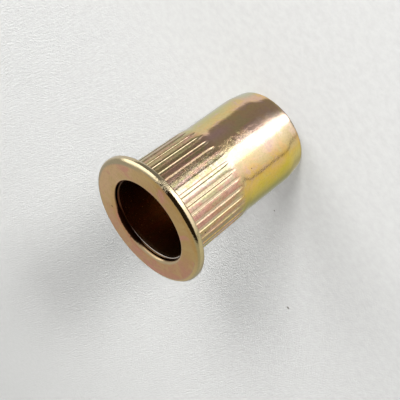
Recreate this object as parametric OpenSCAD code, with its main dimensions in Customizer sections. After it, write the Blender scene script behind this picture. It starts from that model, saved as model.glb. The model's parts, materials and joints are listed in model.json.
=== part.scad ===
// Ribbed rivet nut with a flat flange and an open threaded tail.
// It stands on its tail: the tail face is at z = 0 and the flange face is at z = length.

/* [Overall] */
// Length from the tail face to the flange face
length = 22.4; // [20:0.1:30]
// Outer diameter of the smooth body
body_d = 13; // [12.6:0.1:13.4]

/* [Flange] */
// Outer diameter of the flange
flange_d = 18; // [16:0.1:22]
// Thickness of the flange
flange_t = 1.3; // [1.2:0.05:2]
// Rounding of the flange's outer edge on the face side
flange_face_edge_r = 0.68; // [0.2:0.02:0.7]
// Rounding of the flange's outer edge on the panel side
flange_back_edge_r = 0.38; // [0.1:0.02:0.45]
// Fillet between the flange's back and the barrel
flange_fillet_r = 0.15; // [0.05:0.05:0.3]

/* [Tail] */
// Length of the tapered tail
tail_taper_len = 2.4; // [1:0.1:4]
// Amount by which the taper narrows the body on each side
tail_taper_drop = 0.42; // [0.1:0.02:0.8]
// Radius that blends the body into the taper
tail_blend_r = 4; // [1:0.5:6]
// Rounding of the tail's outer edge
tail_edge_r = 0.35; // [0.1:0.05:0.6]

/* [Bore] */
// Diameter of the smooth grip bore
grip_bore_d = 11.4; // [10.6:0.05:11.6]
// Depth of the smooth grip bore below the flange face
grip_bore_depth = 12; // [8:0.5:14]
// Depth of the wider mouth below the flange face
mouth_depth = 0.85; // [0.8:0.05:2]
// Rounding of the mouth's lip
mouth_lip_r = 0.6; // [0.1:0.05:0.8]
// Width of the ledge between the grip bore and the mouth
ledge_w = 0.1; // [0.1:0.02:0.3]
// Rounding of the ledge's inner edge
ledge_edge_r = 0.08; // [0.02:0.01:0.09]

/* [Thread] */
// Nominal diameter of the thread
thread_d = 10; // [8:0.5:10]
// Pitch of the thread
thread_pitch = 1.5; // [1:0.25:1.75]
// Angle of the funnel from the grip bore to the thread, from the axis
funnel_angle = 45; // [30:5:60]
// Rounding of the funnel's two ends
funnel_edge_r = 0.2; // [0.1:0.05:0.5]
// Depth of the chamfer where the thread leaves the tail
tail_chamfer = 0.3; // [0.1:0.05:0.7]

/* [Ribs] */
// Number of ribs around the body
rib_count = 34; // [20:2:40]
// Distance from the flange's back to the near tips of the grooves
groove_start = 0.4; // [0.3:0.05:1.5]
// Distance from the flange's back to the far tips of the grooves
groove_end = 9.9; // [6:0.1:11]
// Height of the ribs over the body beside the flange
rib_rise_flange = 0.38; // [0.2:0.01:0.5]
// Height of the ribs over the body at their far end
rib_rise_end = 0.14; // [0.08:0.01:0.2]
// Depth of the grooves between the ribs
groove_depth = 0.14; // [0.05:0.01:0.25]
// Width of a groove at its floor
groove_floor_w = 0.38; // [0.2:0.02:0.5]
// Slope of the grooves' sides, from the floor
groove_side_angle = 50; // [30:5:70]
// Length of the run-out from the ribs down to the smooth body
rib_runout = 0.7; // [0.3:0.05:1.5]
// Rounding at both ends of the run-out
runout_edge_r = 0.6; // [0.2:0.1:1.5]

/* [Hidden] */
$fn = 96;

margin = 1; // how far the hollow's shape reaches past the body's two ends
groove_overcut = 0.1; // how far a groove's cutter reaches above the ribs' crests

body_r = body_d / 2;
flange_r = flange_d / 2;
flange_back_z = length - flange_t;

// The ribs' crests lie on a slight cone: widest beside the flange, narrowest at the run-out.
groove_end_z = flange_back_z - groove_end;
groove_side_w = groove_depth / tan(groove_side_angle);
runout_z = groove_end_z + groove_side_w;
crest_r_flange = body_r + rib_rise_flange;
crest_r_end = body_r + rib_rise_end;
crest_slope = atan((crest_r_flange - crest_r_end) / (flange_back_z - runout_z));

grip_bore_r = grip_bore_d / 2;
mouth_r = grip_bore_r + ledge_w;
thread_minor_r = (thread_d - thread_pitch) / 2;
grip_bore_end_z = length - grip_bore_depth;
funnel_len = (grip_bore_r - thread_minor_r) / tan(funnel_angle);

// Corners of the outer half section as [radius, height, rounding], from the tail up.
outer_corners = [
    [0, 0, 0],
    [body_r - tail_taper_drop, 0, tail_edge_r],
    [body_r, tail_taper_len, tail_blend_r],
    [body_r, runout_z - rib_runout, runout_edge_r],
    [crest_r_end, runout_z, runout_edge_r],
    [crest_r_flange, flange_back_z, flange_fillet_r],
    [flange_r, flange_back_z, flange_back_edge_r],
    [flange_r, length, flange_face_edge_r],
    [0, length, 0],
];

// Corners of the hollow's half section in the same form, from below the tail to above the face.
hollow_corners = [
    [0, -margin, 0],
    [thread_minor_r + tail_chamfer + margin, -margin, 0],
    [thread_minor_r, tail_chamfer, 0],
    [thread_minor_r, grip_bore_end_z - funnel_len, funnel_edge_r],
    [grip_bore_r, grip_bore_end_z, funnel_edge_r],
    [grip_bore_r, length - mouth_depth, ledge_edge_r],
    [mouth_r, length - mouth_depth, 0],
    [mouth_r, length, mouth_lip_r],
    [mouth_r + mouth_lip_r + margin, length, 0],
    [mouth_r + mouth_lip_r + margin, length + margin, 0],
    [0, length + margin, 0],
];

function unit(v) = v / norm(v);
function turn_at(a, p, b) = cross(p - a, b - p);

// The piece between a corner and the arc that rounds it, to cut off or to fill in.
module corner_piece(a, p, b, r) {
    u = unit(a - p);
    w = unit(b - p);
    half = acos(u * w) / 2;
    centre = p + unit(u + w) * r / sin(half);
    reach = r / tan(half);
    difference() {
        polygon([p, p + u * reach, centre, p + w * reach]);
        translate(centre) circle(r);
    }
}

// A closed outline whose corners are rounded by true arcs. Corners run anticlockwise.
module rounded_outline(corners) {
    n = len(corners);
    points = [for (c = corners) [c[0], c[1]]];
    difference() {
        union() {
            polygon(points);
            for (i = [0:n - 1]) {
                a = points[(i + n - 1) % n];
                b = points[(i + 1) % n];
                if (corners[i][2] > 0 && turn_at(a, points[i], b) < 0)
                    corner_piece(a, points[i], b, corners[i][2]);
            }
        }
        for (i = [0:n - 1]) {
            a = points[(i + n - 1) % n];
            b = points[(i + 1) % n];
            if (corners[i][2] > 0 && turn_at(a, points[i], b) > 0)
                corner_piece(a, points[i], b, corners[i][2]);
        }
    }
}

// One groove, lying along +X with its far tip's floor edge at the origin and its floor at z = 0.
// Its two sides and its two tips all slope at the same angle.
module groove_cutter(run) {
    rise = groove_depth + groove_overcut;
    spread = rise / tan(groove_side_angle);
    half_w = groove_floor_w / 2;
    intersection() {
        translate([-spread, 0, 0])
            rotate([90, 0, 90])
                linear_extrude(run + 2 * spread)
                    slope_sided(half_w, spread, rise);
        translate([run / 2, half_w + spread, 0])
            rotate([90, 0, 0])
                linear_extrude(2 * (half_w + spread))
                    slope_sided(run / 2, spread, rise);
    }
}

// A section that is widest at its top.
module slope_sided(half_w, spread, rise) {
    polygon([[-half_w, 0], [half_w, 0], [half_w + spread, rise], [-half_w - spread, rise]]);
}

module grooves() {
    for (i = [0:rib_count - 1])
        rotate([0, 0, i * 360 / rib_count - 90])
            translate([crest_r_end - groove_depth, 0, groove_end_z + groove_side_w])
                rotate([0, -90 + crest_slope, 0])
                    mirror([0, 0, 1])
                        groove_cutter(groove_end - groove_start - 2 * groove_side_w);
}

module rivet_nut() {
    color("goldenrod")
        difference() {
            rotate_extrude() rounded_outline(outer_corners);
            rotate_extrude() rounded_outline(hollow_corners);
            grooves();
        }
}

rivet_nut();
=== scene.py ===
"""A yellow-plated rivet nut standing on a pale floor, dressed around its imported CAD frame.

The form and the plating are written in millimetres; the view, the lamps and the floor in metres.
"""

import json
import math

import bpy
import numpy as np
from mathutils import Matrix, Vector


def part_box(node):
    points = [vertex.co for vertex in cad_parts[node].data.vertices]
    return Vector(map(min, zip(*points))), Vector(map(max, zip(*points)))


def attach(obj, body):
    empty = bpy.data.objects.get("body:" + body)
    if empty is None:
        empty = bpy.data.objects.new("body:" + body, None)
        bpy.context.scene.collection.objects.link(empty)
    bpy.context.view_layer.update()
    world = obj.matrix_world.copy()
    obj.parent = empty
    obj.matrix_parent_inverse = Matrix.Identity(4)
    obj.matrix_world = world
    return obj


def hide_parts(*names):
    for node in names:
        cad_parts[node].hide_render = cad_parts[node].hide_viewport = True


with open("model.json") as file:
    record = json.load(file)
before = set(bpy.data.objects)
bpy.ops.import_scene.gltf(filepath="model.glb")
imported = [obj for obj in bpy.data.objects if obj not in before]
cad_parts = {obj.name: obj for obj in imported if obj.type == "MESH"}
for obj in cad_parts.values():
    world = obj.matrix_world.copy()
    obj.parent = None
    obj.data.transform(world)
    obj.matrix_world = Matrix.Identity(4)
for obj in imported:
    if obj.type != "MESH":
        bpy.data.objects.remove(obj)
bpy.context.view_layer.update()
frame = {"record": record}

MM = 0.001
NODE = "rivet_nut"

# ---------------------------------------------------------------- sizes, from the frame

mounts = {mount["name"]: mount for mount in frame["record"]["mounts"]}
node_low, node_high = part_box(NODE)

LENGTH = node_high.z / MM
FLANGE_R = (node_high.x - node_low.x) / 2 / MM
FLANGE_BACK_Z = mounts["flange_back"]["pos_m"][2] / MM
BARREL_R = mounts["barrel"]["dims"]["r_mm"]
GRIP_BORE_R = mounts["grip_bore"]["dims"]["r_mm"]
THREAD_CREST_R = mounts["thread"]["dims"]["r_mm"]

# ---------------------------------------------------------------- sizes of the form

# They are the source's, except that the grooves are shallower and the ribs run out more softly.
FLANGE_FACE_EDGE_R = 0.68
FLANGE_BACK_EDGE_R = 0.38
FLANGE_FILLET_R = 0.15
TAIL_TAPER_LEN = 2.4
TAIL_TAPER_DROP = 0.42
TAIL_BLEND_R = 4.0
TAIL_EDGE_R = 0.35

LEDGE_W = 0.1
LEDGE_EDGE_R = 0.08
MOUTH_R = GRIP_BORE_R + LEDGE_W
MOUTH_DEPTH = 0.85
MOUTH_LIP_R = 0.6
GRIP_BORE_END_Z = LENGTH - 12.0

THREAD_PITCH = 1.5
THREAD_DEPTH = 0.77
THREAD_CREST_SHARE = 1 / 4
THREAD_ROOT_SHARE = 1 / 8
THREAD_END_Z = GRIP_BORE_END_Z - (GRIP_BORE_R - THREAD_CREST_R)
FUNNEL_EDGE_R = 0.2
TAIL_CHAMFER = 0.3

RIB_COUNT = 34
RIB_RISE_FLANGE = 0.38
RIB_RISE_END = 0.14
RIB_RUNOUT = 1.0
RUNOUT_EDGE_R = 3.0
GROOVE_LOW_TIP_Z = FLANGE_BACK_Z - 9.9
GROOVE_HIGH_TIP_Z = FLANGE_BACK_Z - 0.4
GROOVE_DEPTH = 0.115
GROOVE_FLOOR_HALF_W = 0.19
GROOVE_SIDE_SLOPE = math.tan(math.radians(50))
GROOVE_EDGE_BLEND = 0.03
GROOVE_FADE = 1.2
GROOVE_TIP_WIDTH_SHARE = 0.4
GROOVE_FIRST_ANGLE = math.radians(-90)

# How much the grooves differ: shares of their depth and width, and shifts of their tips and middle.
GROOVE_SEED = 11
DEPTH_SHARES = (0.8, 1.15)
WIDTH_SHARES = (0.88, 1.1)
LOW_TIP_SHIFTS = (-0.05, 0.25)
HIGH_TIP_SHIFTS = (-0.05, 0.05)
SIDEWAYS_SHIFTS = (-0.015, 0.015)

RUNOUT_Z = GROOVE_LOW_TIP_Z + GROOVE_DEPTH / GROOVE_SIDE_SLOPE
CREST_R_FLANGE = BARREL_R + RIB_RISE_FLANGE
CREST_R_END = BARREL_R + RIB_RISE_END
CREST_SLOPE = (CREST_R_FLANGE - CREST_R_END) / (FLANGE_BACK_Z - RUNOUT_Z)

# ---------------------------------------------------------------- fineness of the mesh

ARC_STEP = math.radians(11)
LONG_STRETCH = 2.0
LONG_STRETCH_STEP = 0.4

# The widest gaps between two rings of points.
RING_GAP_TIPS = 0.085
RING_GAP_BARREL = 0.55
RING_GAP_FLANGE = 0.45
RING_GAP_THREAD = THREAD_PITCH / 15
RING_GAP_BORE = 0.9

# How far from the grooves' tips and from the flange's back these gaps change.
LOW_TIP_REACH = 0.75
HIGH_TIP_REACH = 0.3
FLANGE_REACH = 0.2

# Distances of the columns from the middle of their groove, and the stretches below the run-out
# and the flange's back over which the columns change from even to close.
COLUMN_OFFSETS = np.array([0, 0.11, 0.175, 0.205, 0.235, 0.27, 0.31])
EVEN_BELOW_RUNOUT = 1.2
CLOSE_BELOW_RUNOUT = 0.3
CLOSE_BELOW_FLANGE = 0.3

# The outer and the inner strip of the skin meet on two rings, a little outside the lip and the
# tail's chamfer.
FACE_SEAM_GAP = 0.4
TAIL_SEAM_GAP = 0.3
FACE_SEAM_R = MOUTH_R + MOUTH_LIP_R + FACE_SEAM_GAP
TAIL_SEAM_R = THREAD_CREST_R + TAIL_CHAMFER + TAIL_SEAM_GAP

# Points below this height lie on the tail face, which the thread leaves alone.
ABOVE_TAIL_FACE = 0.001


# ---------------------------------------------------------------- outlines

def unit(vector):
    return vector / np.linalg.norm(vector)


def arc(before, here, after, radius):
    """Points along the arc that rounds the corner at here."""
    u = unit(before - here)
    w = unit(after - here)
    half = math.acos(u @ w) / 2
    centre = here + unit(u + w) * radius / math.sin(half)
    first = here + u * radius / math.tan(half) - centre
    sweep = math.pi - 2 * half
    side = math.copysign(1, u[0] * w[1] - u[1] * w[0])
    count = max(2, math.ceil(sweep / ARC_STEP))
    points = []
    for k in range(count + 1):
        turn = -side * sweep * k / count
        spin = np.array([[math.cos(turn), -math.sin(turn)], [math.sin(turn), math.cos(turn)]])
        points.append(centre + spin @ first)
    return points


def rounded(corners):
    """Points [radius, height] along an outline of (radius, height, rounding) corners."""
    places = [np.array(corner[:2], float) for corner in corners]
    points = [places[0]]
    for i in range(1, len(corners) - 1):
        rounding = corners[i][2]
        if rounding > 0:
            points += arc(places[i - 1], places[i], places[i + 1], rounding)
        else:
            points.append(places[i])
    return points + [places[-1]]


def divided(points, step_count):
    """The same outline with each stretch from a to b cut into step_count(a, b) equal steps."""
    fine = [points[0]]
    for a, b in zip(points, points[1:]):
        count = step_count(a, b)
        fine += [a + (b - a) * k / count for k in range(1, count + 1)]
    return fine


def refined(points, widest_gap):
    """The same outline with points added, so that no gap is wider than widest_gap(z)."""

    def fine_steps(a, b):
        middle_z = (a[1] + b[1]) / 2
        return max(1, math.ceil(np.linalg.norm(b - a) / widest_gap(middle_z)))

    def first_steps(a, b):
        reach = np.linalg.norm(b - a)
        if reach <= LONG_STRETCH:
            return 1
        return max(fine_steps(a, b), math.ceil(reach / LONG_STRETCH_STEP))

    return np.array(divided(divided(points, first_steps), fine_steps))


def outer_gap(z):
    if abs(z - GROOVE_LOW_TIP_Z) < LOW_TIP_REACH or abs(z - GROOVE_HIGH_TIP_Z) < HIGH_TIP_REACH:
        return RING_GAP_TIPS
    return RING_GAP_BARREL if z < FLANGE_BACK_Z - FLANGE_REACH else RING_GAP_FLANGE


def outer_outline():
    """From the tail face round the barrel and the flange to the flange face."""
    corners = [
        (TAIL_SEAM_R, 0, 0),
        (BARREL_R - TAIL_TAPER_DROP, 0, TAIL_EDGE_R),
        (BARREL_R, TAIL_TAPER_LEN, TAIL_BLEND_R),
        (BARREL_R, RUNOUT_Z - RIB_RUNOUT, RUNOUT_EDGE_R),
        (CREST_R_END, RUNOUT_Z, RUNOUT_EDGE_R),
        (CREST_R_FLANGE, FLANGE_BACK_Z, FLANGE_FILLET_R),
        (FLANGE_R, FLANGE_BACK_Z, FLANGE_BACK_EDGE_R),
        (FLANGE_R, LENGTH, FLANGE_FACE_EDGE_R),
        (FACE_SEAM_R, LENGTH, 0),
    ]
    return refined(rounded(corners), outer_gap)


def inner_gap(z):
    return RING_GAP_THREAD if z < GRIP_BORE_END_Z else RING_GAP_BORE


def inner_outline():
    """From the flange face down the mouth, the bore and the thread to the tail face."""
    corners = [
        (FACE_SEAM_R, LENGTH, 0),
        (MOUTH_R, LENGTH, MOUTH_LIP_R),
        (MOUTH_R, LENGTH - MOUTH_DEPTH, 0),
        (GRIP_BORE_R, LENGTH - MOUTH_DEPTH, LEDGE_EDGE_R),
        (GRIP_BORE_R, GRIP_BORE_END_Z, FUNNEL_EDGE_R),
        (THREAD_CREST_R, THREAD_END_Z, FUNNEL_EDGE_R),
        (THREAD_CREST_R, TAIL_CHAMFER, 0),
        (THREAD_CREST_R + TAIL_CHAMFER, 0, 0),
        (TAIL_SEAM_R, 0, 0),
    ]
    return refined(rounded(corners), inner_gap)


# ---------------------------------------------------------------- ribs and thread

def smooth_min(a, b, blend):
    overlap = np.maximum(blend - np.abs(a - b), 0) / blend
    return np.minimum(a, b) - overlap**2 * blend / 4


def column_angles(z):
    """Angles of the columns in a ring: even, but on the ribs closest at the grooves' edges."""
    period = 2 * math.pi / RIB_COUNT
    close = np.concatenate([-COLUMN_OFFSETS[:0:-1], COLUMN_OFFSETS]) / CREST_R_END
    close = np.append(close, period / 2)
    even = (np.arange(len(close)) - len(COLUMN_OFFSETS) + 1) * period / len(close)
    heights = [
        RUNOUT_Z - EVEN_BELOW_RUNOUT,
        RUNOUT_Z - CLOSE_BELOW_RUNOUT,
        FLANGE_BACK_Z - CLOSE_BELOW_FLANGE,
        FLANGE_BACK_Z,
    ]
    share = np.interp(z, heights, [0, 1, 1, 0])
    one = close * share + even * (1 - share)
    return np.concatenate([GROOVE_FIRST_ANGLE + i * period + one for i in range(RIB_COUNT)])


def grooved(radius, angle, z):
    """The outline's radius, lowered where a groove cuts it. Each groove differs a little."""
    rng = np.random.default_rng(GROOVE_SEED)
    columns = radius.shape[1]
    rib = np.arange(columns) // (columns // RIB_COUNT)

    def differing(low, high):
        return rng.uniform(low, high, RIB_COUNT)[rib]

    depth = GROOVE_DEPTH * differing(*DEPTH_SHARES)
    half_w = GROOVE_FLOOR_HALF_W * differing(*WIDTH_SHARES)
    low_tip = GROOVE_LOW_TIP_Z + differing(*LOW_TIP_SHIFTS)
    high_tip = GROOVE_HIGH_TIP_Z + differing(*HIGH_TIP_SHIFTS)
    drift = differing(*SIDEWAYS_SHIFTS)

    centre = GROOVE_FIRST_ANGLE + rib * 2 * math.pi / RIB_COUNT
    aside = np.abs((angle - centre) * CREST_R_END + drift)
    tip_w = depth / GROOVE_SIDE_SLOPE
    beyond = np.maximum(low_tip + tip_w - z, z - high_tip + tip_w)
    fade = np.clip((z - low_tip) / GROOVE_FADE, 0, 1)
    half_w = half_w * (GROOVE_TIP_WIDTH_SHARE + (1 - GROOVE_TIP_WIDTH_SHARE) * fade)
    from_floor = np.maximum(aside - half_w, np.maximum(beyond, 0))
    floor_r = CREST_R_END + (z - RUNOUT_Z) * CREST_SLOPE - depth * fade
    return smooth_min(radius, floor_r + from_floor * GROOVE_SIDE_SLOPE, GROOVE_EDGE_BLEND)


def threaded(radius, angle, z):
    """The outline's radius, widened where the right-hand thread cuts it."""
    turn = (z / THREAD_PITCH - angle / (2 * math.pi)) % 1
    from_root = np.abs(turn - 0.5) * 2
    flank_share = 1 - THREAD_CREST_SHARE - THREAD_ROOT_SHARE
    rise = np.clip((from_root - THREAD_ROOT_SHARE) / flank_share, 0, 1)
    thread_r = THREAD_CREST_R + THREAD_DEPTH * (1 - rise)
    in_thread = (z > ABOVE_TAIL_FACE) & (z < GRIP_BORE_END_Z)
    return np.where(in_thread, np.maximum(radius, thread_r), radius)


# ---------------------------------------------------------------- skin

def spread(outline, columns):
    """The outline's radii and heights, each repeated for every column."""
    return np.repeat(outline[:, :1], columns, axis=1), np.repeat(outline[:, 1:], columns, axis=1)


def skin_points(radius, angle, z):
    return np.stack([radius * np.cos(angle), radius * np.sin(angle), z], axis=-1)


def outer_points():
    """Rings of points over the outside, from the tail face to the flange face."""
    outline = outer_outline()
    angles = np.array([column_angles(height) for height in outline[:, 1]])
    radius, z = spread(outline, angles.shape[1])
    on_barrel = (z < FLANGE_BACK_Z) & (radius < CREST_R_FLANGE + FLANGE_FILLET_R)
    radius = np.where(on_barrel, grooved(radius, angles, z), radius)
    return skin_points(radius, angles, z)


def inner_points():
    """Rings of points over the inside, from the flange face to the tail face."""
    angles = column_angles(0)[::2]
    radius, z = spread(inner_outline(), len(angles))
    return skin_points(threaded(radius, angles, z), angles, z)


def lattice_faces(first, rows, columns):
    """Quads between neighbouring rings of one strip."""
    index = first + np.arange(rows * columns).reshape(rows, columns)
    after = np.roll(index, -1, axis=1)
    quads = np.stack([index[:-1], after[:-1], after[1:], index[1:]], axis=-1)
    return quads.reshape(-1, 4).tolist()


def seam_faces(coarse, fine, flip):
    """Closes the gap between a ring and one with twice as many points."""
    faces = []
    for i in range(len(coarse)):
        a = coarse[i]
        b = coarse[(i + 1) % len(coarse)]
        p = fine[2 * i]
        q = fine[2 * i + 1]
        r = fine[(2 * i + 2) % len(fine)]
        faces += [(a, q, p), (a, b, q), (b, r, q)]
    return [face[::-1] for face in faces] if flip else faces


def build_rivet_nut():
    """One closed skin: the outer strip, the inner strip and the two seams between them."""
    outer = outer_points()
    inner = inner_points()
    points = np.concatenate([outer.reshape(-1, 3), inner.reshape(-1, 3)])
    rows, columns = outer.shape[:2]
    inner_rows, inner_columns = inner.shape[:2]
    split = rows * columns
    faces = lattice_faces(0, rows, columns)
    faces += lattice_faces(split, inner_rows, inner_columns)
    tail_ring = range(columns)
    face_ring = range(split - columns, split)
    inner_face_ring = range(split, split + inner_columns)
    inner_tail_ring = range(len(points) - inner_columns, len(points))
    faces += seam_faces(inner_face_ring, face_ring, flip=False)
    faces += seam_faces(inner_tail_ring, tail_ring, flip=True)

    mesh = bpy.data.meshes.new("rivet_nut_skin")
    mesh.from_pydata((points * MM).tolist(), [], faces)
    mesh.validate()
    mesh.polygons.foreach_set("use_smooth", [True] * len(mesh.polygons))
    piece = bpy.data.objects.new("rivet_nut_skin", mesh)
    bpy.context.collection.objects.link(piece)
    return piece


# ---------------------------------------------------------------- node helper

class Graph:
    """Short calls for making and joining shader nodes."""

    def __init__(self, tree):
        self.tree = tree
        tree.nodes.clear()

    def node(self, kind, settings=None, **inputs):
        made = self.tree.nodes.new(kind)
        for name, value in (settings or {}).items():
            setattr(made, name, value)
        for name, value in inputs.items():
            self.put(made.inputs[name.replace("_", " ")], value)
        return made

    def put(self, socket, value):
        if isinstance(value, bpy.types.NodeSocket):
            self.tree.links.new(value, socket)
        else:
            socket.default_value = value

    def math(self, operation, a, b=0.0):
        made = self.node("ShaderNodeMath", {"operation": operation})
        self.put(made.inputs[0], a)
        self.put(made.inputs[1], b)
        return made.outputs[0]

    def add(self, a, b):
        return self.math("ADD", a, b)

    def subtract(self, a, b):
        return self.math("SUBTRACT", a, b)

    def multiply(self, first, *others):
        for other in others:
            first = self.math("MULTIPLY", first, other)
        return first

    def largest(self, first, *others):
        for other in others:
            first = self.math("MAXIMUM", first, other)
        return first

    def raised(self, base, value, amount):
        """base plus amount times value."""
        return self.add(base, self.multiply(value, amount))

    def around_zero(self, noise, reach):
        """The noise as an offset of up to about reach either way."""
        return self.multiply(self.subtract(noise, 0.5), 2 * reach)

    def bearing(self, x, y):
        """The angle round the z axis in radians: 0 towards -Y, growing towards -X."""
        return self.math("ARCTAN2", self.multiply(x, -1.0), self.multiply(y, -1.0))

    def scaled(self, vector, factor):
        made = self.node("ShaderNodeVectorMath", {"operation": "SCALE"}, Scale=factor)
        self.put(made.inputs[0], vector)
        return made.outputs[0]

    def stretched(self, vector, factors):
        made = self.node("ShaderNodeVectorMath", {"operation": "MULTIPLY"})
        self.put(made.inputs[0], vector)
        made.inputs[1].default_value = factors
        return made.outputs[0]

    def distance(self, vector, point):
        made = self.node("ShaderNodeVectorMath", {"operation": "DISTANCE"})
        self.put(made.inputs[0], vector)
        made.inputs[1].default_value = point
        return made.outputs["Value"]

    def ease(self, value, start, end):
        """0 at start, 1 at end and smooth between. start may be the larger."""
        made = self.node("ShaderNodeMapRange", {"interpolation_type": "SMOOTHSTEP"}, Value=value)
        made.inputs["From Min"].default_value = min(start, end)
        made.inputs["From Max"].default_value = max(start, end)
        made.inputs["To Min"].default_value = 0.0 if start < end else 1.0
        made.inputs["To Max"].default_value = 1.0 if start < end else 0.0
        return made.outputs["Result"]

    def mix(self, factor, a, b, blend="MIX"):
        """The colour a with b over it. A colour is a socket or three numbers."""
        made = self.node("ShaderNodeMix", {"data_type": "RGBA", "blend_type": blend}, Factor=factor)
        for name, colour in (("A", a), ("B", b)):
            self.put(made.inputs[name], (*colour, 1) if isinstance(colour, tuple) else colour)
        return made.outputs["Result"]

    def noise(self, vector, scale, detail, rough=0.5, warp=0.0):
        made = self.node("ShaderNodeTexNoise", Vector=vector, Scale=scale, Detail=detail)
        made.inputs["Roughness"].default_value = rough
        made.inputs["Distortion"].default_value = warp
        return made.outputs["Fac"]

    def ramp(self, factor, stops):
        made = self.node("ShaderNodeValToRGB", Fac=factor)
        elements = made.color_ramp.elements
        while len(elements) < len(stops):
            elements.new(0.5)
        for element, (place, colour) in zip(elements, stops):
            element.position = place
            element.color = (*colour, 1)
        return made.outputs["Color"]


# ---------------------------------------------------------------- view

CAMERA_AZIMUTH = math.radians(1.2)
CAMERA_ELEVATION = math.radians(29.08)
CAMERA_ROLL = math.radians(127.2)
CAMERA_DISTANCE = 129.8 * MM
CAMERA_AIM = Vector((-1.82, 1.31, 13.62)) * MM
CAMERA_LENS = 91.5
CAMERA_SENSOR = 36.0
CAMERA_NEAR = 0.005
CAMERA_FAR = 10


def add_camera():
    back = Vector((
        math.sin(CAMERA_AZIMUTH) * math.cos(CAMERA_ELEVATION),
        -math.cos(CAMERA_AZIMUTH) * math.cos(CAMERA_ELEVATION),
        math.sin(CAMERA_ELEVATION),
    ))
    upright = (-back).to_track_quat("-Z", "Y").to_matrix().to_4x4()
    camera = bpy.data.cameras.new("camera")
    camera.lens = CAMERA_LENS
    camera.sensor_width = CAMERA_SENSOR
    camera.clip_start = CAMERA_NEAR
    camera.clip_end = CAMERA_FAR
    holder = bpy.data.objects.new("camera", camera)
    bpy.context.collection.objects.link(holder)
    place = Matrix.Translation(CAMERA_AIM + back * CAMERA_DISTANCE)
    holder.matrix_world = place @ upright @ Matrix.Rotation(-CAMERA_ROLL, 4, "Z")
    bpy.context.scene.camera = holder


# ---------------------------------------------------------------- studio

# The metal reflects a studio that is drawn on the sky. Its bearings and heights are in degrees,
# and a bearing is 0 towards -Y and 90 towards -X.
# Pairs of bearing and brightness at the height that the standing barrel reflects to the camera.
PALE_SIDE = [(-180, 0.60), (-120, 0.80), (-106, 0.84), (-94, 0.84)]
DARK_SIDE = [(-91, 0.28), (-42, 0.26), (-31, 0.36), (-26, 0.60)]
WINDOW = [(-19, 1.25), (-10, 2.5), (9, 2.5), (17, 1.35)]
BRIGHT_SIDE = [(40, 1.05), (63.6, 0.74)]
TABLE_EDGE = [(64.2, 0.0), (66.0, 0.0)]
TABLE = [(66.6, 0.72), (82, 0.78), (98, 0.70), (115, 0.60), (135, 0.40), (180, 0.50)]
STUDIO_LEVELS = PALE_SIDE + DARK_SIDE + WINDOW + BRIGHT_SIDE + TABLE_EDGE + TABLE
BRIGHTEST = 2.5

# The levels have their own bearings at this height. Each degree below it draws them together by
# this share, and each degree above it spreads them.
LEVELS_HEIGHT = -33.0
LEVELS_SPREAD = 0.0033

# The heights between which the levels show, as (none, all) at the bottom and at the top.
LEVELS_BOTTOM = (-66, -54)
LEVELS_TOP = (8, -14)

# Boxes as (lowest bearing, highest bearing, bottom, top), and how far their edges blur.
PHOTOGRAPHER = (-34, 74, -12, 78)
FRONT_PANEL = (-12, 12, -100, -14)
BOX_EDGE = 5
BOX_EDGE_HEIGHT = 6

# The panel towards +X has softer edges, each as (none, all).
SIDE_PANEL_START = (-118, -104)
SIDE_PANEL_END = (-38, -50)
SIDE_PANEL_BOTTOM = (-17, -12)
SIDE_PANEL_TOP = (50, 8)

# The dark spot straight below, by the way's z.
BELOW = (-0.93, -0.985)

STUDIO_PALE = (0.50, 0.50, 0.49)
PHOTOGRAPHER_BROWN = (0.020, 0.014, 0.009)
PANEL_WHITE = (BRIGHTEST, BRIGHTEST, BRIGHTEST)
BELOW_DARK = (0.02, 0.018, 0.015)

SKY_MAP_SIZE = 1024


def studio_levels(g, bearing, height):
    """The brightness round the part, from the levels."""
    drop = g.subtract(LEVELS_HEIGHT, height)
    spread_bearing = g.multiply(bearing, g.raised(1.0, drop, LEVELS_SPREAD))
    place = g.add(g.math("DIVIDE", spread_bearing, 360.0), 0.5)
    stops = [(degrees / 360 + 0.5, (level / BRIGHTEST,) * 3) for degrees, level in STUDIO_LEVELS]
    return g.scaled(g.ramp(place, stops), BRIGHTEST)


def studio_box(g, bearing, height, box):
    """1 inside the box of bearings and heights, with soft edges."""
    low, high, bottom, top = box
    left = g.ease(bearing, low - BOX_EDGE, low + BOX_EDGE)
    right = g.ease(bearing, high + BOX_EDGE, high - BOX_EDGE)
    under = g.ease(height, bottom - BOX_EDGE_HEIGHT, bottom + BOX_EDGE_HEIGHT)
    over = g.ease(height, top + BOX_EDGE_HEIGHT, top - BOX_EDGE_HEIGHT)
    return g.multiply(left, right, under, over)


def side_panel(g, bearing, height):
    across = g.multiply(g.ease(bearing, *SIDE_PANEL_START), g.ease(bearing, *SIDE_PANEL_END))
    upward = g.multiply(g.ease(height, *SIDE_PANEL_BOTTOM), g.ease(height, *SIDE_PANEL_TOP))
    return g.multiply(across, upward)


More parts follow.
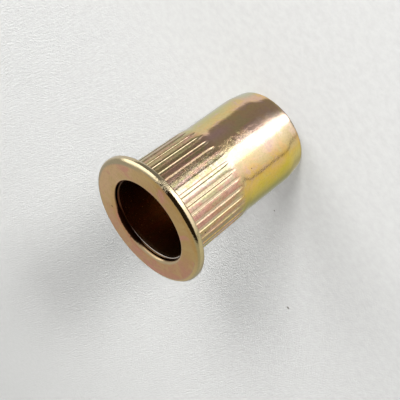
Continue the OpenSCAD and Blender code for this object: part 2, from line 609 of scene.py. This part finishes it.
def studio_world():
    """A pale studio with bright panels, a darker side and the photographer's dark shape."""
    world = bpy.data.worlds.new("studio")
    bpy.context.scene.world = world
    world.use_nodes = True
    world.cycles.sampling_method = "MANUAL"
    world.cycles.sample_map_resolution = SKY_MAP_SIZE
    g = Graph(world.node_tree)
    way = g.node("ShaderNodeTexCoord").outputs["Generated"]
    parts = g.node("ShaderNodeSeparateXYZ", Vector=way).outputs
    bearing = g.multiply(g.bearing(parts["X"], parts["Y"]), 180 / math.pi)
    height = g.multiply(g.math("ARCSINE", parts["Z"]), 180 / math.pi)
    level_share = g.multiply(g.ease(height, *LEVELS_BOTTOM), g.ease(height, *LEVELS_TOP))
    colour = g.mix(level_share, STUDIO_PALE, studio_levels(g, bearing, height))
    colour = g.mix(studio_box(g, bearing, height, PHOTOGRAPHER), colour, PHOTOGRAPHER_BROWN)
    colour = g.mix(studio_box(g, bearing, height, FRONT_PANEL), colour, PANEL_WHITE)
    colour = g.mix(side_panel(g, bearing, height), colour, PANEL_WHITE)
    colour = g.mix(g.ease(parts["Z"], *BELOW), colour, BELOW_DARK)
    back = g.node("ShaderNodeBackground", Color=colour, Strength=1.0)
    g.node("ShaderNodeOutputWorld", Surface=back.outputs[0])


# Lamps as (name, place, diameter, power), all aimed at the middle of the part's foot.
LAMPS = [
    ("key", (0.43, -0.79, 0.44), 0.32, 18.0),
    ("side", (0.80, -0.30, 0.45), 0.70, 9.0),
    ("low_left", (-0.05, -1.2, 0.235), 0.16, 36.0),
    ("low_right", (0.06, -1.2, 0.235), 0.16, 36.0),
]


def add_lamp(name, place, size, power):
    """A soft light for the floor: the metal shows the studio around it instead."""
    lamp = bpy.data.lights.new(name, "AREA")
    lamp.shape = "DISK"
    lamp.size = size
    lamp.energy = power
    holder = bpy.data.objects.new(name, lamp)
    bpy.context.collection.objects.link(holder)
    turn = (-Vector(place)).to_track_quat("-Z", "Y").to_matrix().to_4x4()
    holder.matrix_world = Matrix.Translation(Vector(place)) @ turn
    holder.visible_glossy = False
    holder.visible_camera = False


# ---------------------------------------------------------------- floor

FLOOR_HALF = 1.5
FLOOR_ROUGHNESS = 0.85

# Two tones of the paper, each a pair of colours that fine noise mixes. The paper turns from the
# paler to the greyer one along a way given below as an X and a Y, between the two places given
# below it. This turn is painted shade, standing in for the lamps' light falling off across the floor.
PAPER_IN_PAINTED_LIGHT = ((0.332, 0.333, 0.326), (0.370, 0.370, 0.363))
PAPER_IN_PAINTED_SHADE = ((0.292, 0.292, 0.286), (0.328, 0.328, 0.322))
PAINTED_SHADE_WAY = (0.29, 0.96)
PAINTED_SHADE_CHANGE = (0.08, -0.02)

# Noises as their scale a metre, detail and roughness.
FLOOR_TONE = {"scale": 900.0, "detail": 4.0, "rough": 0.65}
FLOOR_WEAVE = {"scale": 2600.0, "detail": 4.0, "rough": 0.6}
TONE_RANGE = (0.2, 0.8)

# The paper's weave shows least towards -Y and rises to most between the two places of WEAVE_RISE.
WEAVE_STRENGTH = 0.5
WEAVE_HEIGHT = 0.0002
WEAVE_LEAST = 0.25
WEAVE_MORE = 2.6
WEAVE_RISE = (-0.005, 0.06)

# Dark specks on the floor as (place, radius) in millimetres, and the shares of the radius between
# which they fade.
FLOOR_SPECKS = [((-23.7, 23.8, 0.0), 0.24), ((-9.6, 10.2, 0.0), 0.12)]
SPECK_BROWN = (0.08, 0.07, 0.06)
SPECK_EDGE = (1.5, 0.5)


def floor_colour(g, place, x, y):
    tone = g.ease(g.noise(place, **FLOOR_TONE), *TONE_RANGE)
    across = g.add(g.multiply(x, PAINTED_SHADE_WAY[0]), g.multiply(y, PAINTED_SHADE_WAY[1]))
    paper_in_painted_light = g.mix(tone, *PAPER_IN_PAINTED_LIGHT)
    paper_in_painted_shade = g.mix(tone, *PAPER_IN_PAINTED_SHADE)
    # Painted shade: the paper greys along the way, in place of the lamps' light falling off.
    colour = g.mix(g.ease(across, *PAINTED_SHADE_CHANGE), paper_in_painted_light, paper_in_painted_shade)
    for speck, size in FLOOR_SPECKS:
        distance = g.distance(place, Vector(speck) * MM)
        limits = [size * share * MM for share in SPECK_EDGE]
        colour = g.mix(g.ease(distance, *limits), colour, SPECK_BROWN)
    return colour


def floor_bump(g, place, y):
    strength = g.raised(WEAVE_LEAST, g.ease(y, *WEAVE_RISE), WEAVE_MORE)
    height = g.multiply(g.noise(place, **FLOOR_WEAVE), strength)
    return g.node("ShaderNodeBump", Strength=WEAVE_STRENGTH, Distance=WEAVE_HEIGHT, Height=height)


def floor_material():
    """Pale paper with a fine weave, two dark specks and a painted shade gradient across it."""
    material = bpy.data.materials.new("pale_floor")
    material.use_nodes = True
    g = Graph(material.node_tree)
    place = g.node("ShaderNodeTexCoord").outputs["Object"]
    parts = g.node("ShaderNodeSeparateXYZ", Vector=place).outputs
    shader = g.node(
        "ShaderNodeBsdfPrincipled",
        Base_Color=floor_colour(g, place, parts["X"], parts["Y"]),
        Roughness=FLOOR_ROUGHNESS,
        Normal=floor_bump(g, place, parts["Y"]).outputs["Normal"],
    )
    g.node("ShaderNodeOutputMaterial", Surface=shader.outputs[0])
    return material


def add_floor():
    mesh = bpy.data.meshes.new("floor")
    signs = [(-1, -1), (1, -1), (1, 1), (-1, 1)]
    mesh.from_pydata([(x * FLOOR_HALF, y * FLOOR_HALF, 0) for x, y in signs], [], [(0, 1, 2, 3)])
    mesh.materials.append(floor_material())
    floor = bpy.data.objects.new("floor", mesh)
    bpy.context.collection.objects.link(floor)
    floor.visible_glossy = False
    floor.visible_shadow = False


# ---------------------------------------------------------------- plating: what it is drawn from

# From here on, a pair of limits says where something fades: (where there is none, where all of it).
# Angles are in radians, 0 towards -Y and growing towards -X. Noises have their scale a millimetre.
CLOUD = {"scale": 0.22, "detail": 3.0, "rough": 0.55}
MOTTLE = {"scale": 0.8, "detail": 4.0, "rough": 0.62, "warp": 0.3}
SPECKLE = {"scale": 4.5, "detail": 3.0, "rough": 0.7}

# Where the seen side, the side with the lit ledge, the flange's film and the ribs' film are.
SEEN_SIDE = (2.3, 1.4)
LIT_SIDE_X = (1.2, -0.8)
FLANGE_Z = (FLANGE_BACK_Z - 0.1, FLANGE_BACK_Z + 0.05)
RIBS_Z = (RUNOUT_Z - 0.6, RUNOUT_Z + 1.4)
RIBS_WANDER = 0.8

# Frost is a stretch of coarse grain along the edge of the bright band.
FROST_FROM = (-0.46, -0.30)
FROST_TO = (-0.10, -0.18)
FROST_Z = (4.0, 7.5)
FROST_MOTTLE = (0.38, 0.52)


class Surface:
    """The places, the noises and the regions that the parts of the plating share."""

    def __init__(self, g):
        self.place = g.scaled(g.node("ShaderNodeTexCoord").outputs["Object"], 1 / MM)
        parts = g.node("ShaderNodeSeparateXYZ", Vector=self.place).outputs
        self.x = parts["X"]
        self.y = parts["Y"]
        self.z = parts["Z"]
        squares = g.add(g.math("POWER", self.x, 2.0), g.math("POWER", self.y, 2.0))
        self.radius = g.math("SQRT", squares)
        self.angle = g.bearing(self.x, self.y)

        self.cloud = g.noise(self.place, **CLOUD)
        self.mottle = g.noise(self.place, **MOTTLE)
        self.speckle = g.noise(self.place, **SPECKLE)

        self.front = g.ease(g.math("ABSOLUTE", self.angle), *SEEN_SIDE)
        self.lit = g.ease(self.x, *LIT_SIDE_X)
        self.on_flange = g.ease(self.z, *FLANGE_Z)
        self.on_ribs = g.ease(g.add(self.z, g.around_zero(self.mottle, RIBS_WANDER)), *RIBS_Z)
        self.frost = g.multiply(
            g.ease(self.angle, *FROST_FROM),
            g.ease(self.angle, *FROST_TO),
            g.ease(self.mottle, *FROST_MOTTLE),
            g.ease(self.z, *FROST_Z),
        )


def film_round(g, at, colours, wander):
    """A film whose colour changes round the part, with an uneven edge between colours."""
    turn = g.add(g.math("DIVIDE", at.angle, 2 * math.pi), 0.5)
    stops = [(degrees / 360 + 0.5, colour) for degrees, colour in colours]
    return g.ramp(g.add(turn, wander), stops)


# ---------------------------------------------------------------- plating: barrel

# Colours of the film by the angle round the part, in degrees. The olive-green from about 60 to 95
# degrees either way is painted sheen, where the barrel's sides are seen at a grazing angle; the
# other colours are the film's own.
BARREL_FILM_AND_SHEEN = [
    (-180, (0.78, 0.52, 0.30)), (-130, (0.78, 0.48, 0.32)), (-95, (0.60, 0.56, 0.34)),
    (-72, (0.62, 0.58, 0.23)), (-58, (0.73, 0.55, 0.21)), (-45, (0.81, 0.54, 0.25)),
    (-16, (0.77, 0.50, 0.31)), (-4, (0.84, 0.67, 0.53)), (10, (0.82, 0.61, 0.43)),
    (22, (0.81, 0.54, 0.26)), (36, (0.81, 0.53, 0.11)), (52, (0.72, 0.57, 0.06)),
    (66, (0.60, 0.55, 0.08)), (85, (0.50, 0.50, 0.20)), (135, (0.78, 0.49, 0.27)),
    (180, (0.78, 0.52, 0.30)),
]
BARREL_CLOUD_WANDER = 0.05
BARREL_MOTTLE_WANDER = 0.02

# Stains show a little everywhere, and more on the side that is most stained.
BARREL_STAIN = {"scale": 0.28, "detail": 6.0, "rough": 0.72, "warp": 0.6}
STAINED_SIDE = (0.78, 0.45)
BARREL_PINK = (0.74, 0.49, 0.42)
PINK_STAIN = (0.49, 0.62)
PINK_EVERYWHERE = 0.10
PINK_STAINED = 0.50
BARREL_GREEN = (0.68, 0.58, 0.28)
GREEN_STAIN = (0.49, 0.40)
GREEN_EVERYWHERE = 0.25
GREEN_STAINED = 0.25

BARREL_PURPLE = (0.78, 0.49, 0.42)
PURPLE_FROM = (-0.85, -0.55)
PURPLE_TO = (-0.36, -0.62)
PURPLE_Z = (4.5, 10.5)
PURPLE_WANDER = 4.0

TAIL_Z = (3.4, 1.4)
TAIL_GOLD = (0.86, 0.70, 0.20)
TAIL_GOLD_SIDE = (0.5, 0.9)
TAIL_OLIVE = (0.62, 0.60, 0.36)
TAIL_OLIVE_SIDE = (-0.8, -1.1)


def barrel_film_and_sheen(g, at):
    """Gold with pink and green stains, a painted olive sheen towards the sides, a purple stretch and a
    gold and olive tail.
    """
    cloud_wander = g.around_zero(at.cloud, BARREL_CLOUD_WANDER)
    mottle_wander = g.around_zero(at.mottle, BARREL_MOTTLE_WANDER)
    film = film_round(g, at, BARREL_FILM_AND_SHEEN, g.add(cloud_wander, mottle_wander))

    stain = g.noise(at.place, **BARREL_STAIN)
    stained = g.ease(at.angle, *STAINED_SIDE)
    pink_strength = g.raised(PINK_EVERYWHERE, stained, PINK_STAINED)
    film = g.mix(g.multiply(g.ease(stain, *PINK_STAIN), pink_strength), film, BARREL_PINK)
    green_strength = g.raised(GREEN_EVERYWHERE, stained, GREEN_STAINED)
    film = g.mix(g.multiply(g.ease(stain, *GREEN_STAIN), green_strength), film, BARREL_GREEN)

    purple_z = g.add(at.z, g.around_zero(at.cloud, PURPLE_WANDER))
    purple = g.multiply(
        g.ease(at.angle, *PURPLE_FROM),
        g.ease(at.angle, *PURPLE_TO),
        g.ease(purple_z, *PURPLE_Z),
    )
    film = g.mix(purple, film, BARREL_PURPLE)

    on_tail = g.multiply(g.ease(at.z, *TAIL_Z), at.front)
    film = g.mix(g.multiply(on_tail, g.ease(at.angle, *TAIL_GOLD_SIDE)), film, TAIL_GOLD)
    return g.mix(g.multiply(on_tail, g.ease(at.angle, *TAIL_OLIVE_SIDE)), film, TAIL_OLIVE)


# ---------------------------------------------------------------- plating: ribs

RIB_FILM = [
    (-180, (0.72, 0.47, 0.28)), (-80, (0.58, 0.48, 0.24)), (-52, (0.52, 0.33, 0.17)),
    (-28, (0.68, 0.43, 0.26)), (-12, (0.53, 0.44, 0.28)), (0, (0.66, 0.58, 0.48)),
    (14, (0.68, 0.52, 0.37)), (26, (0.72, 0.40, 0.29)), (45, (0.58, 0.34, 0.15)),
    (75, (0.55, 0.42, 0.16)), (180, (0.72, 0.47, 0.28)),
]
RIB_MOTTLE_WANDER = 0.09
RIB_SPECKLE_WANDER = 0.02
RIB_PINK = (0.78, 0.40, 0.34)
RIB_GREEN = (0.50, 0.50, 0.22)

# Streaks of pink and green run along the ribs.
STREAK = {"scale": 1.0, "detail": 3.0, "rough": 0.6}
STREAK_STRETCH = Vector((1.5, 1.5, 0.2))
STREAK_PINK = (0.52, 0.60)
STREAK_GREEN = (0.48, 0.40)
STREAK_STRENGTH = 0.50

# Patches of the same colours are stronger on the side that is seen.
PATCH_PINK = (0.52, 0.64)
PATCH_GREEN = (0.48, 0.38)
PATCH_EVERYWHERE = 0.12
PATCH_SEEN = 0.20

# The grooves are paler, as a painted highlight, on their sides and, where light falls in, on their
# floors; this fades out far round towards -X. Both are found by their depth below the ribs' crests.
GROOVE_PAINTED_HIGHLIGHT = (0.84, 0.71, 0.48)
GROOVE_HIGHLIGHT_STRENGTH = 0.65
GROOVE_SIDE_TOP = (0.008, 0.03)
GROOVE_SIDE_FOOT = (0.095, 0.075)
GROOVE_FLOOR = (0.02, 0.07)
LIT_FLOORS = (-0.12, 0.12)
LIT_GROOVES = (1.2, 0.5)


def painted_groove_highlights(g, at):
    """How much the painted highlight pales the film in the grooves."""
    crest_rise = g.multiply(g.subtract(at.z, RUNOUT_Z), CREST_SLOPE)
    below_crest = g.subtract(g.add(crest_rise, CREST_R_END), at.radius)
    on_sides = g.multiply(g.ease(below_crest, *GROOVE_SIDE_TOP), g.ease(below_crest, *GROOVE_SIDE_FOOT))
    on_floors = g.multiply(g.ease(below_crest, *GROOVE_FLOOR), g.ease(at.angle, *LIT_FLOORS))
    return g.multiply(g.largest(on_sides, on_floors), g.ease(at.angle, *LIT_GROOVES), GROOVE_HIGHLIGHT_STRENGTH)


def rib_film(g, at):
    """Brown and gold with pink and green streaks and patches, and a painted highlight in the grooves.
    """
    mottle_wander = g.around_zero(at.mottle, RIB_MOTTLE_WANDER)
    speckle_wander = g.around_zero(at.speckle, RIB_SPECKLE_WANDER)
    film = film_round(g, at, RIB_FILM, g.add(mottle_wander, speckle_wander))
    streak = g.noise(g.stretched(at.place, STREAK_STRETCH), **STREAK)
    film = g.mix(g.multiply(g.ease(streak, *STREAK_PINK), STREAK_STRENGTH), film, RIB_PINK)
    film = g.mix(g.multiply(g.ease(streak, *STREAK_GREEN), STREAK_STRENGTH), film, RIB_GREEN)
    patchy = g.raised(PATCH_EVERYWHERE, at.front, PATCH_SEEN)
    film = g.mix(g.multiply(g.ease(at.mottle, *PATCH_PINK), patchy), film, RIB_PINK)
    film = g.mix(g.multiply(g.ease(at.mottle, *PATCH_GREEN), patchy), film, RIB_GREEN)
    return g.mix(painted_groove_highlights(g, at), film, GROOVE_PAINTED_HIGHLIGHT)


# ---------------------------------------------------------------- plating: flange

FACE_GOLD = (0.68, 0.425, 0.155)
FACE_PINK = (0.72, 0.36, 0.21)
FACE_PALE = (0.86, 0.56, 0.29)
FACE_ROSE = (0.80, 0.36, 0.26)
FACE_HONEY = (0.74, 0.52, 0.20)
# Painted highlight: the lip drawn cream towards -X, where its highlight falls.
LIP_PAINTED_HIGHLIGHT = (0.72, 0.56, 0.34)
# Painted highlight: the ledge drawn white on its lit side.
LEDGE_PAINTED_HIGHLIGHT = (0.98, 0.94, 0.88)

# The face turns from gold to pink across it, and paler towards +X.
LEAN_WAY = (-0.055, 0.05)
LEAN_WANDER = 0.55
LEAN_TO_PINK = (0.0, 0.42)
PALE_X = (1.5, 7.5)
PALE_WANDER = 3.0

BLOT = {"scale": 0.34, "detail": 5.0, "rough": 0.62, "warp": 0.5}
ROSE_BLOTS = (0.50, 0.62)
ROSE_STRENGTH = 0.75
HONEY_BLOTS = (0.48, 0.38)
HONEY_STRENGTH = 0.45

UNEVEN_EDGES = 0.12
LIP_HIGHLIGHT_R = (MOUTH_R + 0.50, MOUTH_R + 0.20)
LIP_HIGHLIGHT_X = (1.0, -3.0)
LEDGE_HIGHLIGHT_R = (MOUTH_R - 0.01, MOUTH_R - 0.03)

# The rim has a grey ring and a gold one, which stop near RIM_MIDDLE, and an edge over both.
RIM_GREY = (0.58, 0.46, 0.30)
RIM_GOLD = (0.76, 0.55, 0.24)
RIM_OLIVE = (0.60, 0.49, 0.24)
RIM_CREAM = (0.84, 0.68, 0.44)
RIM_DULL = (0.58, 0.48, 0.30)
RIM_MIDDLE = 0.15
RIM_AWAY = (0.65, 1.1)
GREY_RING_R = (FLANGE_R - 0.80, FLANGE_R - 0.66)
GREY_RING_STRENGTH = 0.4
GOLD_RING_R = (FLANGE_R - 0.66, FLANGE_R - 0.50)
RIM_EDGE_R = (FLANGE_R - 0.35, FLANGE_R - 0.12)
RIM_OLIVE_X = (-2.0, -6.0)
RIM_DULL_X = (0.5, 4.0)


def face_film(g, at, uneven):
    """Gold, pink and pale film on the flange's face, with blots, and a cream lip and a white ledge that
    are painted highlights.
    """
    lean = g.add(g.multiply(at.x, LEAN_WAY[0]), g.multiply(at.y, LEAN_WAY[1]))
    lean = g.add(lean, g.around_zero(at.cloud, LEAN_WANDER))
    film = g.mix(g.ease(lean, *LEAN_TO_PINK), FACE_GOLD, FACE_PINK)
    pale_x = g.add(at.x, g.around_zero(at.cloud, PALE_WANDER))
    film = g.mix(g.ease(pale_x, *PALE_X), film, FACE_PALE)
    blot = g.noise(at.place, **BLOT)
    film = g.mix(g.multiply(g.ease(blot, *ROSE_BLOTS), ROSE_STRENGTH), film, FACE_ROSE)
    film = g.mix(g.multiply(g.ease(blot, *HONEY_BLOTS), HONEY_STRENGTH), film, FACE_HONEY)
    film = g.mix(g.multiply(g.ease(uneven, *LIP_HIGHLIGHT_R), g.ease(at.x, *LIP_HIGHLIGHT_X)), film, LIP_PAINTED_HIGHLIGHT)
    return g.mix(g.multiply(g.ease(at.radius, *LEDGE_HIGHLIGHT_R), at.lit), film, LEDGE_PAINTED_HIGHLIGHT)


def flange_film(g, at):
    """The face's film with the rim's rings and edge over it."""
    uneven = g.add(at.radius, g.around_zero(at.cloud, UNEVEN_EDGES))
    film = face_film(g, at, uneven)
    away = g.ease(g.math("ABSOLUTE", g.subtract(at.angle, RIM_MIDDLE)), *RIM_AWAY)
    grey_ring = g.multiply(g.ease(uneven, *GREY_RING_R), away, GREY_RING_STRENGTH)
    film = g.mix(grey_ring, film, RIM_GREY)
    dull = g.ease(at.x, *RIM_DULL_X)
    gold_ring = g.multiply(g.ease(uneven, *GOLD_RING_R), away)
    film = g.mix(gold_ring, film, g.mix(dull, RIM_GOLD, RIM_DULL))
    edge = g.mix(g.ease(at.x, *RIM_OLIVE_X), RIM_CREAM, RIM_OLIVE)
    edge = g.mix(dull, edge, RIM_DULL)
    return g.mix(g.ease(uneven, *RIM_EDGE_R), film, edge)


# ---------------------------------------------------------------- plating: painted shade, pits and grit

WHITE = (1, 1, 1)
BLACK = (0, 0, 0)
# Painted shade: brown in the bore and darker on the mouth's wall, where little light reaches.
BORE_PAINTED_SHADE = (0.60, 0.44, 0.30)
MOUTH_WALL_PAINTED_SHADE = (0.16, 0.11, 0.08)

# Where the bore's painted shade stays off: the face, all beyond the lip, the lit ledge and the barrel's
# outside.
FACE_Z = (LENGTH - 0.42, LENGTH - 0.18)
BEYOND_LIP_R = (MOUTH_R + MOUTH_LIP_R + 0.03, MOUTH_R + MOUTH_LIP_R + 0.06)
LEDGE_FROM_R = (GRIP_BORE_R, GRIP_BORE_R + 0.03)
LEDGE_TO_R = (MOUTH_R, MOUTH_R - 0.02)
BARREL_SIDE_R = (MOUTH_R, MOUTH_R + 0.04)
BARREL_SIDE_Z = (LENGTH - 1.0, LENGTH - 1.1)
MOUTH_WALL_R = (GRIP_BORE_R - 0.01, GRIP_BORE_R + 0.02)
MOUTH_WALL_Z = (LENGTH - 0.95, LENGTH - 0.90)

# Dark pits as (angle in degrees, distance from the axis, z, radius), and the shares of the radius
# between which they fade.
PITS = [
    (49.8, 6.80, 18.88, 0.11), (21.8, 6.50, 9.17, 0.06), (-138.7, 6.40, 22.40, 0.10),
    (-20.6, 8.72, 22.18, 0.07), (-19.5, 8.80, 22.05, 0.05), (177.0, 6.10, 22.30, 0.06),
]
PIT_TINT = (0.12, 0.08, 0.06)
PIT_EDGE = (0.6, 1.6)

# Grit darkens the ribs most. The flange lies above the ribs' start, so its share is taken off.
GRIT = {"scale": 3.2, "detail": 2.0, "rough": 0.7}
GRIT_LIMITS = (0.56, 0.36)
GRIT_EVERYWHERE = 0.06
GRIT_ON_RIBS = 0.14
GRIT_ON_FLANGE = -0.14


def painted_bore_shade(g, at):
    """White outside; painted shade, brown in the bore and darker on the mouth's wall."""
    outside = g.largest(
        g.ease(at.z, *FACE_Z),
        g.ease(at.radius, *BEYOND_LIP_R),
        g.multiply(g.ease(at.radius, *LEDGE_FROM_R), g.ease(at.radius, *LEDGE_TO_R), at.lit),
        g.multiply(g.ease(at.radius, *BARREL_SIDE_R), g.ease(at.z, *BARREL_SIDE_Z)),
    )
    mouth_wall = g.multiply(g.ease(at.radius, *MOUTH_WALL_R), g.ease(at.z, *MOUTH_WALL_Z))
    return g.mix(outside, g.mix(mouth_wall, BORE_PAINTED_SHADE, MOUTH_WALL_PAINTED_SHADE), WHITE)


def free_of_pits(g, at):
    """0 in the pits and 1 outside them."""
    clean = 1.0
    for degrees, from_axis, up, size in PITS:
        around = math.radians(degrees)
        pit = Vector((-from_axis * math.sin(around), -from_axis * math.cos(around), up))
        limits = [size * share for share in PIT_EDGE]
        clean = g.multiply(clean, g.ease(g.distance(at.place, pit), *limits))
    return clean


def painted_shade_and_marks(g, at):
    """What darkens the film: painted shade inside, the pits and the grit."""
    shade = g.mix(free_of_pits(g, at), PIT_TINT, painted_bore_shade(g, at))
    strength = g.raised(GRIT_EVERYWHERE, at.on_ribs, GRIT_ON_RIBS)
    strength = g.raised(strength, at.on_flange, GRIT_ON_FLANGE)
    grit = g.ease(g.noise(at.place, **GRIT), *GRIT_LIMITS)
    return g.mix(g.multiply(grit, strength), shade, BLACK)


# ---------------------------------------------------------------- plating: gloss and grain

ROUGHNESS = 0.02
ROUGHNESS_SPECKLE = 0.05
ROUGHNESS_FROST = 0.06
ROUGHNESS_BORE = 0.22
BORE_R = (GRIP_BORE_R + 0.05, GRIP_BORE_R)

RELIEF_HEIGHT = 0.00002
SWELL = {"scale": 0.30, "detail": 2.0}
SWELL_HEIGHT = 1.2
DIMPLES = {"scale": 1.6, "detail": 3.0}
DIMPLE_HEIGHT = 0.45
GRAIN_HEIGHT = 0.45
GRAIN_ON_RIBS = 0.80
GRAIN_IN_FROST = 2.20
GRAIN_ON_FLANGE = -0.65


def surface_roughness(g, at):
    rough = g.raised(ROUGHNESS, at.speckle, ROUGHNESS_SPECKLE)
    rough = g.raised(rough, at.frost, ROUGHNESS_FROST)
    return g.raised(rough, g.ease(at.radius, *BORE_R), ROUGHNESS_BORE)


def surface_bump(g, at):
    """A slow swell, dimples, and grain that is strongest in the frost."""
    grain_height = g.raised(GRAIN_HEIGHT, at.on_ribs, GRAIN_ON_RIBS)
    grain_height = g.raised(grain_height, at.frost, GRAIN_IN_FROST)
    grain_height = g.raised(grain_height, at.on_flange, GRAIN_ON_FLANGE)
    relief = g.multiply(g.noise(at.place, **SWELL), SWELL_HEIGHT)
    relief = g.raised(relief, g.noise(at.place, **DIMPLES), DIMPLE_HEIGHT)
    relief = g.raised(relief, at.speckle, grain_height)
    return g.node("ShaderNodeBump", Strength=1.0, Distance=RELIEF_HEIGHT, Height=relief)


# ---------------------------------------------------------------- plating: material

def plating_material():
    """Iridescent yellow chromate on zinc: gold, with pink, olive and green stains, and painted sheen,
    highlights and shade.
    """
    material = bpy.data.materials.new("yellow_chromate")
    material.use_nodes = True
    g = Graph(material.node_tree)
    at = Surface(g)
    film = g.mix(at.on_ribs, barrel_film_and_sheen(g, at), rib_film(g, at))
    film = g.mix(at.on_flange, film, flange_film(g, at))
    shader = g.node(
        "ShaderNodeBsdfPrincipled",
        Base_Color=g.mix(1.0, film, painted_shade_and_marks(g, at), blend="MULTIPLY"),
        Metallic=1.0,
        Roughness=surface_roughness(g, at),
        Normal=surface_bump(g, at).outputs["Normal"],
    )
    g.node("ShaderNodeOutputMaterial", Surface=shader.outputs[0])
    return material


# ---------------------------------------------------------------- scene

add_camera()
add_floor()
studio_world()
for lamp in LAMPS:
    add_lamp(*lamp)
bpy.context.scene.view_settings.view_transform = "Standard"

nut = build_rivet_nut()
nut.data.materials.append(plating_material())
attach(nut, "root")
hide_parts(NODE)
